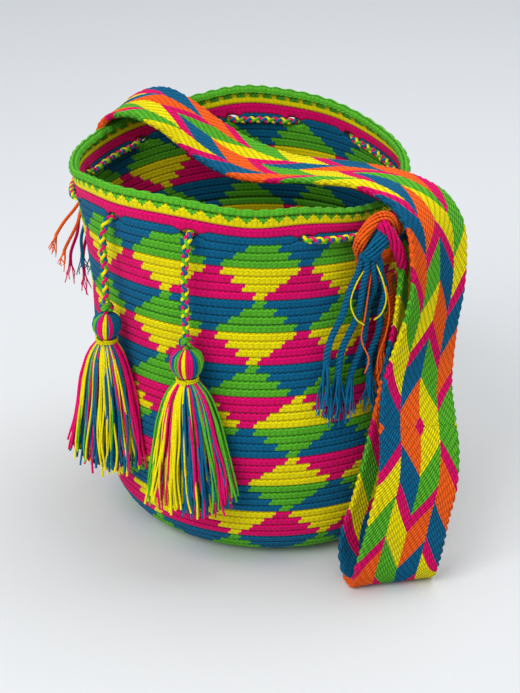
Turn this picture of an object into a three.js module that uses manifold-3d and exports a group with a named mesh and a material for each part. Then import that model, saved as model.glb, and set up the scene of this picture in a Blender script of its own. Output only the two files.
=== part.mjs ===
// Wayuu mochila bag: a crocheted bucket bag with a threaded drawstring, two
// tassels and a woven shoulder strap that hangs over the rim to the ground.
// Millimetres, +Z up. The origin is the middle of the bag's base, on the
// ground; -Y is the front, where the tassels hang.
import * as THREE from 'three';
import { mergeVertices } from 'three/addons/utils/BufferGeometryUtils.js';
import Module from 'manifold-3d';

const wasm = await Module();
wasm.setup();

// ---- driving dimensions ----
const BAG_HEIGHT = 311;          // base to rim, before the rim's own sway
const BASE_RADIUS = 108;         // flat part of the base disc
const BASE_CORNER = 45;          // height of the rounded base edge
const MOUTH_RADIUS = 140;
const BELLY = 9.7;               // how far the belly stands out past the mouth
const BELLY_HEIGHT = 105;
const BELLY_BELOW = 65;          // how fast the belly fades below and above
const BELLY_ABOVE = 75;
const WALL = 4.5;                // thickness of the crochet
const LEAN_X = -31;              // how far the mouth stands from over the base
const LEAN_Y = 4;
const BAG_SIDES = 44;

const CORD = 5.2;                // drawstring braid
const EYELET_Z = 286;            // height of the eyelet row on the wall
const EYELET_LONG = 21;
const EYELET_TALL = 8.5;
const CORD_OFFSET = 5.6;         // braid's middle from the wall's middle
const END_TURN = 1.35;           // degrees from an exit eyelet to the threaded part
// the cord is outside between the 2nd and 3rd eyelet, the 4th and 5th, and so on
const EYELETS = [-104, -68, -39, -14, 14, 45, 68, 94, 131, 163, 195, 227];

const STRAP_WIDTH = 70;
const STRAP_THICK = 3.2;
const STRAP_TAPER = 0.045;       // share of the length that narrows at each end

const LOOP = 11;                 // twisted bundle that joins strap and wall
const LOOP_HOLE = 13;
// where the two strap loops pass through the wall: angle, height on the wall
const LOOP_HOLES = [[-47, 272], [-37, 270], [140, 262], [153, 260]];
const FRINGE = 6.4;              // twisted fringe cord
const YARN_END = 3.4;            // thin cords of the left fringe
const GAP = 0.4;                 // left between pieces that touch

const BLUE = 0x00658f;
const GREEN = 0x5cb531;
const YELLOW = 0xf2ea00;
const MAGENTA = 0xe6006e;
const ORANGE = 0xff5a1a;

const bag = new THREE.Group();

// ---- the bag's own form ----
function bellyRadius(z) {
  const spread = z < BELLY_HEIGHT ? BELLY_BELOW : BELLY_ABOVE;
  return MOUTH_RADIUS + BELLY * Math.exp(-(((z - BELLY_HEIGHT) / spread) ** 2));
}

function wallRadius(z) {
  if (z >= BASE_CORNER) return bellyRadius(z);
  const up = 1 - z / BASE_CORNER;
  return BASE_RADIUS + (bellyRadius(BASE_CORNER) - BASE_RADIUS) * Math.sqrt(1 - up * up);
}

// The soft mouth leans and goes out of round; the base stays true.
function settle(radius, angle, z) {
  const t = Math.max(0, z / BAG_HEIGHT);
  const outOfRound = 0.007 * Math.cos(2 * angle) + 0.029 * Math.sin(2 * angle)
    + 0.031 * Math.cos(3 * angle) + 0.044 * Math.sin(3 * angle);
  const sway = -6.5 * Math.cos(angle) + 4 * Math.sin(angle)
    - 12.5 * Math.cos(2 * angle) + 8.5 * Math.sin(2 * angle);
  const r = radius * (1 + t * t * outOfRound);
  return new THREE.Vector3(
    LEAN_X * t * t + r * Math.cos(angle),
    LEAN_Y * t * t + r * Math.sin(angle),
    z + sway * t ** 3,
  );
}

function onWall(degrees, z, offset) {
  return settle(wallRadius(z) + offset, THREE.MathUtils.degToRad(degrees), z);
}

// ---- helpers ----
function signedVolume(geometry) {
  const p = geometry.attributes.position;
  const a = new THREE.Vector3();
  const b = new THREE.Vector3();
  const c = new THREE.Vector3();
  let volume = 0;
  for (let i = 0; i < geometry.index.count; i += 3) {
    a.fromBufferAttribute(p, geometry.index.getX(i));
    b.fromBufferAttribute(p, geometry.index.getX(i + 1));
    c.fromBufferAttribute(p, geometry.index.getX(i + 2));
    volume += a.dot(b.cross(c)) / 6;
  }
  return volume;
}

// One closed skin with shared vertices and its faces pointing out.
function closed(geometry) {
  geometry.deleteAttribute('normal');
  geometry.deleteAttribute('uv');
  const skin = mergeVertices(geometry, 1e-4);
  const kept = [];
  for (let i = 0; i < skin.index.count; i += 3) {
    const [a, b, c] = [skin.index.getX(i), skin.index.getX(i + 1), skin.index.getX(i + 2)];
    if (a !== b && b !== c && c !== a) kept.push(a, b, c);
  }
  skin.setIndex(kept);
  if (signedVolume(skin) < 0) skin.setIndex(kept.reverse());
  skin.computeVertexNormals();
  return skin;
}

function toManifold(geometry) {
  const skin = closed(geometry);
  return new wasm.Manifold(new wasm.Mesh({
    numProp: 3,
    vertProperties: new Float32Array(skin.attributes.position.array),
    triVerts: new Uint32Array(skin.index.array),
  }));
}

function fromManifold(solid) {
  const mesh = solid.getMesh();
  const geometry = new THREE.BufferGeometry();
  geometry.setAttribute('position', new THREE.BufferAttribute(mesh.vertProperties, 3));
  geometry.setIndex(new THREE.BufferAttribute(mesh.triVerts, 1));
  geometry.computeVertexNormals();
  return geometry;
}

function place(name, geometry, color, roughness = 0.9) {
  const material = new THREE.MeshStandardMaterial({ color, roughness, metalness: 0 });
  const mesh = new THREE.Mesh(geometry, material);
  mesh.name = name;
  bag.add(mesh);
}

function moveEach(geometry, change) {
  const p = geometry.attributes.position;
  const v = new THREE.Vector3();
  for (let i = 0; i < p.count; i += 1) {
    v.fromBufferAttribute(p, i);
    const moved = change(v);
    p.setXYZ(i, moved.x, moved.y, moved.z);
  }
  return geometry;
}

// A smooth route through hand-set points; both ends carry straight on.
function route(points) {
  const list = points.map((p) => (p.isVector3 ? p : new THREE.Vector3(...p)));
  return new THREE.CatmullRomCurve3(list, false, 'catmullrom', 0.5);
}

function tube(points, diameter, steps, sides = 8) {
  const corners = [];
  for (let i = 0; i < sides; i += 1) {
    const a = (2 * Math.PI * (i + 0.5)) / sides;
    corners.push(new THREE.Vector2(Math.cos(a), Math.sin(a)).multiplyScalar(diameter / 2));
  }
  const section = new THREE.Shape(corners);
  return closed(new THREE.ExtrudeGeometry(section, { steps, extrudePath: route(points) }));
}

function ball(centre, rx, ry, rz) {
  const geometry = new THREE.SphereGeometry(1, 12, 7);
  geometry.rotateX(Math.PI / 2);
  geometry.scale(rx, ry, rz);
  geometry.translate(centre.x, centre.y, centre.z);
  return closed(geometry);
}

// ---- bag body ----
function bagShell() {
  const levels = [0, 3, 10, 24, 45, 75, 105, 140, 180, 225, 265, 290, BAG_HEIGHT];
  const profile = [new THREE.Vector2(0, 0)];
  levels.forEach((z) => profile.push(new THREE.Vector2(wallRadius(z), z)));
  const inner = levels.slice(3).filter((z) => z < BAG_HEIGHT).reverse();
  profile.push(new THREE.Vector2(wallRadius(BAG_HEIGHT) - WALL, BAG_HEIGHT));
  inner.forEach((z) => profile.push(new THREE.Vector2(wallRadius(z) - WALL, z)));
  profile.push(new THREE.Vector2(BASE_RADIUS, WALL));
  profile.push(new THREE.Vector2(0, WALL));
  const lathe = new THREE.LatheGeometry(profile, BAG_SIDES);
  lathe.rotateX(Math.PI / 2);
  const shell = moveEach(lathe, (v) => settle(Math.hypot(v.x, v.y), Math.atan2(v.y, v.x), v.z));
  return toManifold(shell);
}

function holeThroughWall(degrees, z, long, tall) {
  const box = new THREE.BoxGeometry(30, long, tall);
  const middle = onWall(degrees, z, -WALL / 2);
  box.rotateZ(THREE.MathUtils.degToRad(degrees));
  box.translate(middle.x, middle.y, middle.z);
  return toManifold(box);
}

function bagBody() {
  let shell = bagShell();
  EYELETS.forEach((degrees) => {
    shell = shell.subtract(holeThroughWall(degrees, EYELET_Z, EYELET_LONG, EYELET_TALL));
  });
  LOOP_HOLES.forEach(([degrees, z]) => {
    shell = shell.subtract(holeThroughWall(degrees, z, LOOP_HOLE, LOOP_HOLE));
  });
  return fromManifold(shell);
}

// ---- drawstring ----
// Offset from the wall's middle: it swaps sides at each eyelet.
function threadOffset(degrees) {
  const mm = THREE.MathUtils.degToRad(1) * MOUTH_RADIUS;
  let side = -1;
  let offset = side;
  for (let i = 1; i < EYELETS.length - 1; i += 1) {
    const past = ((degrees - EYELETS[i]) * mm) / 10;
    side = -side;
    if (past > 1) offset = side;
    else if (past > -1) offset = side * Math.sin((past * Math.PI) / 2);
  }
  return offset * CORD_OFFSET;
}

function threadedCord() {
  const first = EYELETS[0];
  const last = EYELETS[EYELETS.length - 1];
  const points = [];
  for (let d = first + END_TURN; d < last - END_TURN + 0.1; d += (last - first - 2 * END_TURN) / 160) {
    points.push(onWall(d, EYELET_Z, threadOffset(d) - WALL / 2));
  }
  return tube(points, CORD, 80, 8);
}

const LEFT_EXIT = EYELETS[EYELETS.length - 1];
const RIGHT_EXIT = EYELETS[0];

// ---- tassels ----
// top of the head, bottom of the skirt, and the cord's way down to it
const LEFT_TASSEL = { top: [-132, -104, 214], bottom: [-139, -98, 62], head: 11.6, spread: 33 };
const RIGHT_TASSEL = { top: [-67, -151, 205], bottom: [-65, -158, 54], head: 13, spread: 42 };
const LEFT_CORD = [[-129.5, -106, 291], [-132, -106, 279], [-132, -105, 255], [-132, -104, 227.2]];
const RIGHT_CORD = [[-64, -148, 293], [-66, -150, 280], [-67, -150.5, 255], [-67, -151, 218.2]];

function hangingEnd(exit, way) {
  const start = onWall(exit, EYELET_Z, -WALL / 2 - CORD_OFFSET - CORD / 2);
  return tube([start, onWall(exit, EYELET_Z, 2.5), ...way], CORD, 18);
}

const NECK = 7.2;                // radius of the tied neck
const TIE_TALL = 5;
const TASSEL_DEPTH = 0.3;        // how flat the skirt lies, as a share of its spread

// Points of one tassel are set on a straight axis, then leaned into place.
function leanTo(tassel, geometry) {
  const top = new THREE.Vector3(...tassel.top);
  const axis = top.clone().sub(new THREE.Vector3(...tassel.bottom)).normalize();
  const outward = Math.atan2(top.y, top.x + 15);
  geometry.rotateZ(outward);
  geometry.applyQuaternion(new THREE.Quaternion().setFromUnitVectors(
    new THREE.Vector3(0, 0, 1), axis));
  geometry.translate(top.x, top.y, top.z);
  return geometry;
}

function tasselYarns(tassel) {
  const length = new THREE.Vector3(...tassel.top)
    .distanceTo(new THREE.Vector3(...tassel.bottom));
  const h = tassel.head;
  const neckTop = 1.9 * h;
  const profile = [[0, 0], [0.62 * h, -0.18 * h], [0.96 * h, -0.7 * h], [0.98 * h, -1.2 * h],
    [0.72 * h, -1.75 * h], [NECK, -neckTop], [NECK, -neckTop - TIE_TALL - 1],
    [9, -neckTop - 14], [0.36 * tassel.spread, -0.42 * length],
    [0.58 * tassel.spread, -0.65 * length], [0.82 * tassel.spread, -0.85 * length],
    [tassel.spread, -length], [0, -length]].map(([r, z]) => new THREE.Vector2(r, z));
  const geometry = new THREE.LatheGeometry(profile, 16);
  geometry.rotateX(Math.PI / 2);
  moveEach(geometry, (v) => {
    const below = Math.max(0, -v.z - neckTop - TIE_TALL - 1) / (length - neckTop);
    const flat = THREE.MathUtils.lerp(1, TASSEL_DEPTH, Math.min(1, below * 2.2));
    return new THREE.Vector3(v.x * flat, v.y, v.z);
  });
  return closed(leanTo(tassel, geometry));
}

function tasselTie(tassel) {
  const top = -1.9 * tassel.head - 0.5;
  const profile = [[NECK + GAP, top], [NECK + 2.2, top - 0.3], [NECK + 2.8, top - TIE_TALL / 2],
    [NECK + 2.2, top - TIE_TALL + 0.3], [NECK + GAP, top - TIE_TALL], [NECK + GAP, top]];
  const geometry = new THREE.LatheGeometry(profile.map(([r, z]) => new THREE.Vector2(r, z)), 20);
  geometry.rotateX(Math.PI / 2);
  return closed(leanTo(tassel, geometry));
}

function tasselKnot(tassel) {
  const [x, y, z] = tassel.top;
  return ball(new THREE.Vector3(x, y, z + 6.5), 6.4, 6.4, 6);
}

// ---- strap ----
// middle of the band, then the direction across it, from the left end over
// the mouth, down to the fold on the ground and back up to the right end
const STRAP_ROUTE = [
  [-148, 107, 277, 0.60, 0.79, 0.10], [-155, 111, 296, 0.60, 0.79, 0.10],
  [-151, 108, 314, 0.56, 0.82, 0.12], [-133, 98, 327, 0.50, 0.86, 0.10],
  [-106, 83, 331, 0.45, 0.89, 0.07], [-82, 71, 323, 0.45, 0.89, 0.03],
  [-61, 60, 311, 0.48, 0.88, 0.02], [-41, 49, 300, 0.52, 0.86, 0.04],
  [-20, 36, 293, 0.55, 0.84, 0.05], [1, 21, 291, 0.56, 0.83, 0.02],
  [23, 7, 293, 0.58, 0.81, -0.01], [44, -8, 297, 0.60, 0.80, -0.04],
  [64, -24, 301, 0.63, 0.77, -0.06], [84, -40, 304, 0.66, 0.74, -0.10],
  [102, -57, 303, 0.69, 0.71, -0.11], [118, -75, 297, 0.72, 0.69, -0.13],
  [129, -90, 281, 0.72, 0.67, -0.19], [131, -100, 259, 0.70, 0.67, -0.25],
  [130, -109, 235, 0.67, 0.68, -0.30], [125, -117, 210, 0.68, 0.65, -0.33],
  [120, -124, 185, 0.75, 0.57, -0.31], [116, -133, 161, 0.84, 0.47, -0.27],
  [116, -145, 138, 0.91, 0.37, -0.21], [117, -157, 115, 0.94, 0.31, -0.20],
  [115, -167, 91, 0.93, 0.29, -0.22], [109, -174, 67, 0.93, 0.28, -0.22],
  [104, -179, 43, 0.95, 0.25, -0.16], [99, -180, 20, 0.97, 0.20, -0.06],
  [97, -172, 4.5, 0.98, 0.18, 0.00], [92, -158, 4.5, 0.97, 0.20, 0.00],
  [87, -148, 17, 0.95, 0.27, -0.06], [87, -143, 36, 0.91, 0.38, -0.16],
  [92, -139, 58, 0.84, 0.47, -0.26], [97, -134, 82, 0.79, 0.54, -0.28],
  [101, -128, 106, 0.74, 0.60, -0.28], [105, -121, 131, 0.70, 0.66, -0.29],
  [108, -114, 156, 0.65, 0.70, -0.29], [111, -106, 181, 0.60, 0.74, -0.30],
  [114, -98, 206, 0.54, 0.78, -0.31], [114, -93, 231, 0.50, 0.81, -0.31],
  [109, -91, 253, 0.48, 0.83, -0.31], [102, -93, 273, 0.48, 0.83, -0.31],
];

function strapBand() {
  const middle = route(STRAP_ROUTE.map((s) => s.slice(0, 3)));
  const across = route(STRAP_ROUTE.map((s) => s.slice(3)));
  const steps = (STRAP_ROUTE.length - 1) * 2;
  const band = new THREE.BoxGeometry(1, 1, 1, steps, 2, 1);
  moveEach(band, (v) => {
    const u = v.x + 0.5;
    const ends = THREE.MathUtils.smoothstep(Math.min(u, 1 - u), 0, STRAP_TAPER);
    const forward = middle.getTangent(u);
    const face = forward.clone().cross(across.getPoint(u)).normalize();
    const side = face.clone().cross(forward).normalize();
    const width = STRAP_WIDTH * THREE.MathUtils.lerp(0.3, 1, ends);
    const thick = STRAP_THICK * THREE.MathUtils.lerp(2.2, 1, ends);
    return middle.getPoint(u).addScaledVector(side, v.y * width).addScaledVector(face, v.z * thick);
  });
  return closed(band);
}

// ---- strap loops and fringes ----
const RIGHT_LOOP = [
  [98.5, -98, 281.5], [94.5, -103, 288.5], [88, -107.5, 296], [81, -110, 297], [75, -109, 290],
  onWall(-46, 279, 15), onWall(-47, 273, 4), onWall(-46.5, 271.5, -10), onWall(-44.5, 271, -17),
  onWall(-42, 271, -20), onWall(-39.5, 270.5, -17), onWall(-37.5, 270, -10),
  onWall(-37, 269.5, 5),
];
const RIGHT_BUNDLE = [[94, -114, 284], [91, -118, 276], [86, -119, 267]];
const LEFT_LOOP = [
  [-147, 107, 268.5], onWall(139.5, 267, 15.5), onWall(140, 262, 4), onWall(141, 261, -10),
  onWall(144.5, 260.5, -17), onWall(148.5, 260, -17), onWall(152.5, 260, -10),
  onWall(153, 259.5, 5),
];
const RIGHT_BLUE_KNOT = new THREE.Vector3(80, -115, 256);
const RIGHT_ORANGE_KNOT = onWall(-37, 266, 13.6);
const LEFT_KNOT = onWall(153.5, 256, 13.6);

// each cord's own way down, from just under its knot to its tip
const FRINGE_CORDS = {
  right_blue_cord_1: { color: BLUE, width: FRINGE, way: [[73, -111, 246], [66, -117, 238],
    [57, -125, 230], [49, -133, 211], [43, -139, 193], [39, -144, 174], [37, -148, 157]] },
  right_blue_cord_2: { color: BLUE, width: FRINGE, way: [[76.5, -118.5, 245.5], [73, -120, 236],
    [68, -122, 225], [61, -129, 208], [54, -135, 190], [48, -142, 166], [42, -149, 140]] },
  right_blue_cord_3: { color: BLUE, width: FRINGE, way: [[82, -110.5, 245.5], [80, -109, 238],
    [77, -111, 228], [74, -117, 209], [69, -124, 190], [61, -135, 164], [54, -146, 130]] },
  right_blue_cord_4: { color: BLUE, width: FRINGE, way: [[86.5, -116, 246], [88.5, -113, 236],
    [88, -109, 221], [83, -116, 200], [78, -122, 181], [76, -129, 156], [75, -136, 126]] },
  right_orange_cord_1: { color: ORANGE, width: FRINGE, way: [[93.5, -94, 243], [94.5, -95, 230],
    [95, -99, 213], [89, -110, 192], [85, -117, 175], [82, -123, 157]] },
  right_orange_cord_2: { color: ORANGE, width: FRINGE, way: [[100.5, -90, 241.5], [102, -90, 228],
    [103, -94, 211], [98, -104, 192], [91, -115, 174]] },
  right_orange_cord_3: { color: ORANGE, width: FRINGE, way: [[105.5, -84.5, 244], [109, -83, 230],
    [110, -87, 209], [107, -96, 188], [102, -106, 168]] },
  left_orange_cord_1: { color: ORANGE, width: YARN_END, way: [[-167.5, 67.5, 247], [-176, 59, 236],
    [-188, 53, 222], [-200, 49, 206]] },
  left_orange_cord_2: { color: ORANGE, width: YARN_END, way: [[-164, 64.5, 246], [-171, 57, 230],
    [-179, 52, 212], [-186, 50, 195]] },
  left_blue_cord_1: { color: BLUE, width: YARN_END, way: [[-161, 67, 243], [-165, 58, 226],
    [-168, 53, 206], [-170, 51, 187]] },
  left_blue_cord_2: { color: BLUE, width: YARN_END, way: [[-156.4, 67.5, 243.5], [-158.5, 61, 225],
    [-161, 57, 203], [-162, 55, 182]] },
  left_magenta_cord_1: { color: MAGENTA, width: YARN_END, way: [[-160.5, 73, 241.5], [-164, 66, 220],
    [-167, 60, 192], [-168, 57, 167]] },
  left_magenta_cord_2: { color: MAGENTA, width: YARN_END, way: [[-165.7, 73.5, 243.5],
    [-172, 66, 222], [-178, 60, 196], [-181, 57, 172]] },
};

// ---- the object ----
place('bag_body', bagBody(), BLUE);
place('drawstring_ring', threadedCord(), GREEN);
place('drawstring_left_end', hangingEnd(LEFT_EXIT, LEFT_CORD), YELLOW);
place('drawstring_right_end', hangingEnd(RIGHT_EXIT, RIGHT_CORD), YELLOW);
place('left_tassel_yarns', tasselYarns(LEFT_TASSEL), MAGENTA);
place('left_tassel_tie', tasselTie(LEFT_TASSEL), YELLOW);
place('left_tassel_knot', tasselKnot(LEFT_TASSEL), GREEN);
place('right_tassel_yarns', tasselYarns(RIGHT_TASSEL), MAGENTA);
place('right_tassel_tie', tasselTie(RIGHT_TASSEL), YELLOW);
place('right_tassel_knot', tasselKnot(RIGHT_TASSEL), GREEN);
place('strap_band', strapBand(), GREEN);
place('right_strap_loop', tube(RIGHT_LOOP, LOOP, 26, 10), ORANGE);
place('right_blue_bundle', tube(RIGHT_BUNDLE, 10, 6, 10), BLUE);
place('right_blue_knot', ball(RIGHT_BLUE_KNOT, 10.5, 8, 6.5), BLUE);
place('right_orange_knot', ball(RIGHT_ORANGE_KNOT, 8.5, 8, 7.5), ORANGE);
place('left_strap_loop', tube(LEFT_LOOP, LOOP, 20, 10), ORANGE);
place('left_fringe_knot', ball(LEFT_KNOT, 8, 8, 7.5), ORANGE);
Object.entries(FRINGE_CORDS).forEach(([name, cord]) => {
  place(name, tube(cord.way, cord.width, 10, 8), cord.color);
});

export default bag;
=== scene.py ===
import math
import bmesh
import bpy
import numpy as np
from mathutils import Matrix, Vector


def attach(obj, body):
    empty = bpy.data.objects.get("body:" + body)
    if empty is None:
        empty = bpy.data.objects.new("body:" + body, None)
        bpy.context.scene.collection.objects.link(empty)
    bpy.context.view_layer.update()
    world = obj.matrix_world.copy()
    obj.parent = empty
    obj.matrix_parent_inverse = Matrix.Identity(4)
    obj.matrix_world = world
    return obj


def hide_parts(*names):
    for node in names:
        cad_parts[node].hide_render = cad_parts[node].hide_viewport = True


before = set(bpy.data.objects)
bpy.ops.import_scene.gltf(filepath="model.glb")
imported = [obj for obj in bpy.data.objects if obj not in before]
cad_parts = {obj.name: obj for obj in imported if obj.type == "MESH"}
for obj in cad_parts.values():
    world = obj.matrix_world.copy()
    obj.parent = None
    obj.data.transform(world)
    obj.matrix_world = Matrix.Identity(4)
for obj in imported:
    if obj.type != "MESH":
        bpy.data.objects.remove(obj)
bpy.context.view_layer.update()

# Wayuu mochila bag. Lengths are written in millimetres and turned to metres
# when a mesh is made. The origin is the middle of the base, -Y is the front.
MM = 0.001
chance = np.random.default_rng(11)

# ---------------------------------------------------------------- camera
CAMERA_PLACE = (-0.00986, -1.26441, 0.74384)
CAMERA_DOWN = 0.44975           # radians below level
CAMERA_ROLL = -0.004757

camera = bpy.data.objects.new("camera", bpy.data.cameras.new("camera"))
bpy.context.scene.collection.objects.link(camera)
camera.data.lens = 83.03
camera.data.sensor_width = 36.0
camera.data.clip_start = 0.05
camera.matrix_world = (Matrix.Translation(CAMERA_PLACE)
                       @ Matrix.Rotation(math.pi / 2 - CAMERA_DOWN, 4, "X")
                       @ Matrix.Rotation(CAMERA_ROLL, 4, "Z"))
bpy.context.scene.camera = camera

# ---------------------------------------------------------------- sizes of the bag
HEIGHT = 311.0
BASE_RADIUS = 108.0             # where the flat base starts to turn up
CORNER = 45.0                   # height at which that turn ends
MOUTH_RADIUS = 140.0
BELLY = 9.7                     # how much the wall swells
BELLY_Z = 105.0                 # where it is widest
LEAN_X, LEAN_Y = -31.0, 4.0     # how far the mouth has leaned off the base
WALL = 4.5
ROW = 6.5825                    # height of a crochet row
STITCHES = 204                  # round the wall
MOTIF = 17                      # stitches from one motif to the next
BAND = 4                        # rows in a band of the pattern
MAGENTA_ROW, DIPS_ROW, ROLL_ROW = 44, 45, 46
EYELET_ROW = 43
EYELET_WIDE = 3                 # stitches
EYELET_Z = 286.0
EYELETS = [-104, -68, -39, -14, 14, 45, 68, 94, 131, 163, 195, 227]
BLUE, GREEN, YELLOW, MAGENTA, ORANGE = range(5)


def belly_radius(z):
    """The wall's outer radius at a height, before the bag settles."""
    spread = np.where(z < BELLY_Z, 65, 75)
    return MOUTH_RADIUS + BELLY * np.exp(-((z - BELLY_Z) / spread) ** 2)


def settle(radius, angle, z):
    """The soft mouth leans and goes out of round; the base stays true."""
    t = np.maximum(0, z / HEIGHT)
    out_of_round = (0.007 * np.cos(2 * angle) + 0.029 * np.sin(2 * angle)
                    + 0.031 * np.cos(3 * angle) + 0.044 * np.sin(3 * angle))
    sway = (-6.5 * np.cos(angle) + 4 * np.sin(angle)
            - 12.5 * np.cos(2 * angle) + 8.5 * np.sin(2 * angle))
    r = radius * (1 + t * t * out_of_round)
    return np.stack([LEAN_X * t * t + r * np.cos(angle), LEAN_Y * t * t + r * np.sin(angle),
                     z + sway * t ** 3], -1)


def on_wall(degrees, z, offset):
    """A point that far outside the wall, at an angle and a height."""
    degrees, z = np.asarray(degrees, float), np.asarray(z, float)
    return settle(belly_radius(z) + offset, np.radians(degrees), z)


def clear_of_wall(line, gap):
    """Pushes a line out so that it lies on the bag, not in it."""
    x, y, z = line.T
    t = np.maximum(0, z / HEIGHT)
    axis_x, axis_y = LEAN_X * t * t, LEAN_Y * t * t
    angle, r = np.arctan2(y - axis_y, x - axis_x), np.hypot(x - axis_x, y - axis_y)
    wall = settle(belly_radius(z) + gap, angle, z)
    need = np.hypot(wall[:, 0] - axis_x, wall[:, 1] - axis_y)
    scale = np.maximum(1, need / r)
    return np.stack([axis_x + (x - axis_x) * scale, axis_y + (y - axis_y) * scale, z], -1)


# ---------------------------------------------------------------- finishes
# the two kinds of node used most
MATH = "ShaderNodeMath"
RANGE = "ShaderNodeMapRange"


def linear(code):
    """sRGB hex to the linear colour that a shader reads."""
    parts = [int(code[i:i + 2], 16) / 255 for i in (1, 3, 5)]
    return tuple(p / 12.92 if p <= 0.04045 else ((p + 0.055) / 1.055) ** 2.4 for p in parts) + (1.0,)


def add(tree, kind, inputs=None, output=0, **settings):
    """Adds a node with its settings and links, and gives back one of its outputs.
    An input is a value, or the socket that feeds it."""
    node = tree.nodes.new(kind)
    for name, value in settings.items():
        setattr(node, name, value)
    for name, value in (inputs or {}).items():
        if isinstance(value, bpy.types.NodeSocket):
            tree.links.new(value, node.inputs[name])
        else:
            node.inputs[name].default_value = value
    return node.outputs[output] if len(node.outputs) else None


# Single crochet, in shares of a stitch and of a row.
LOOP_LEAN = 0.17                # how much higher the top loop ends than it starts
LOOP_HEIGHT = 0.66
LOOP_THICK = 0.18
LOOP_SHADOW = 0.07              # how far below the loop the legs have already sunk
LEG_HEIGHT = 0.76
LEG_NOTCH = 0.30                # how deep the wall sinks between two stitches
SOFT = 7.0                      # how quickly the legs rise at their feet and under the loop


def stitch_relief(tree, across, up):
    """Height, 0 to 1, of single crochet: a leaning loop over a pair of upright legs.
    across counts stitches and up counts rows."""
    u = add(tree, MATH, {0: across}, operation="FRACT")
    v = add(tree, MATH, {0: up}, operation="FRACT")
    lean = add(tree, MATH, {0: u, 1: LOOP_LEAN, 2: LOOP_HEIGHT}, operation="MULTIPLY_ADD")
    off = add(tree, MATH, {0: v, 1: lean}, operation="SUBTRACT")
    off = add(tree, MATH, {0: off, 1: LOOP_THICK}, operation="DIVIDE")
    off = add(tree, MATH, {0: off, 1: off}, operation="MULTIPLY")
    loop = add(tree, MATH, {0: 1.0, 1: off}, operation="SUBTRACT", use_clamp=True)
    loop = add(tree, MATH, {0: loop}, operation="SQRT")
    notch = add(tree, MATH, {0: u, 1: 2.0, 2: -1.0}, operation="MULTIPLY_ADD")
    notch = add(tree, MATH, {0: notch}, operation="ABSOLUTE")
    notch = add(tree, MATH, {0: notch, 1: 3.0}, operation="POWER")
    leg = add(tree, MATH, {0: notch, 1: -LEG_NOTCH, 2: LEG_HEIGHT}, operation="MULTIPLY_ADD")
    foot = add(tree, MATH, {0: v, 1: SOFT}, operation="MULTIPLY", use_clamp=True)
    under = add(tree, MATH, {0: lean, 1: LOOP_SHADOW}, operation="SUBTRACT")
    under = add(tree, MATH, {0: under, 1: v}, operation="SUBTRACT")
    under = add(tree, MATH, {0: under, 1: SOFT}, operation="MULTIPLY", use_clamp=True)
    leg = add(tree, MATH, {0: leg, 1: foot}, operation="MULTIPLY")
    leg = add(tree, MATH, {0: leg, 1: under}, operation="MULTIPLY")
    return add(tree, MATH, {0: loop, 1: leg}, operation="MAXIMUM")


def ridge_dip(tree, ridge):
    """How far a place is from the middle of its ridge: 0 there, 1 in the grooves."""
    side = add(tree, MATH, {0: ridge}, operation="FRACT")
    side = add(tree, MATH, {0: side, 1: 2.0, 2: -1.0}, operation="MULTIPLY_ADD")
    return add(tree, MATH, {0: side, 1: side}, operation="MULTIPLY")


def ridge_relief(tree, along, ridge):
    """Height, 0 to 1, of the strap's ridges alone, for the mesh itself."""
    rest = add(tree, MATH, {0: 1.0, 1: ridge_dip(tree, ridge)}, operation="SUBTRACT", use_clamp=True)
    return add(tree, MATH, {0: rest}, operation="SQRT")


def weave_relief(tree, along, ridge):
    """Height, 0 to 1, of the strap: long ovals of yarn in slanting ridges, each ridge's
    ovals set half a length on from the next ridge's."""
    line = add(tree, MATH, {0: ridge}, operation="FLOOR")
    line = add(tree, MATH, {0: line, 1: 4000.0}, operation="ADD")
    odd = add(tree, MATH, {0: line, 1: 2.0}, operation="MODULO")
    u = add(tree, MATH, {0: odd, 1: 0.5, 2: along}, operation="MULTIPLY_ADD")
    u = add(tree, MATH, {0: u}, operation="FRACT")
    ends = add(tree, MATH, {0: u, 1: 2.0, 2: -1.0}, operation="MULTIPLY_ADD")
    ends = add(tree, MATH, {0: ends}, operation="ABSOLUTE")
    ends = add(tree, MATH, {0: ends, 1: 5.0}, operation="POWER")
    rest = add(tree, MATH, {0: 1.0, 1: ends}, operation="SUBTRACT")
    rest = add(tree, MATH, {0: rest, 1: ridge_dip(tree, ridge)}, operation="SUBTRACT", use_clamp=True)
    return add(tree, MATH, {0: rest}, operation="SQRT")


PATCH_MM = 17.0                 # size of the faint uneven patches of the dye bath
CREASE_MM = 2.2                 # how near another yarn must be for painted shade to fall on this one


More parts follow.
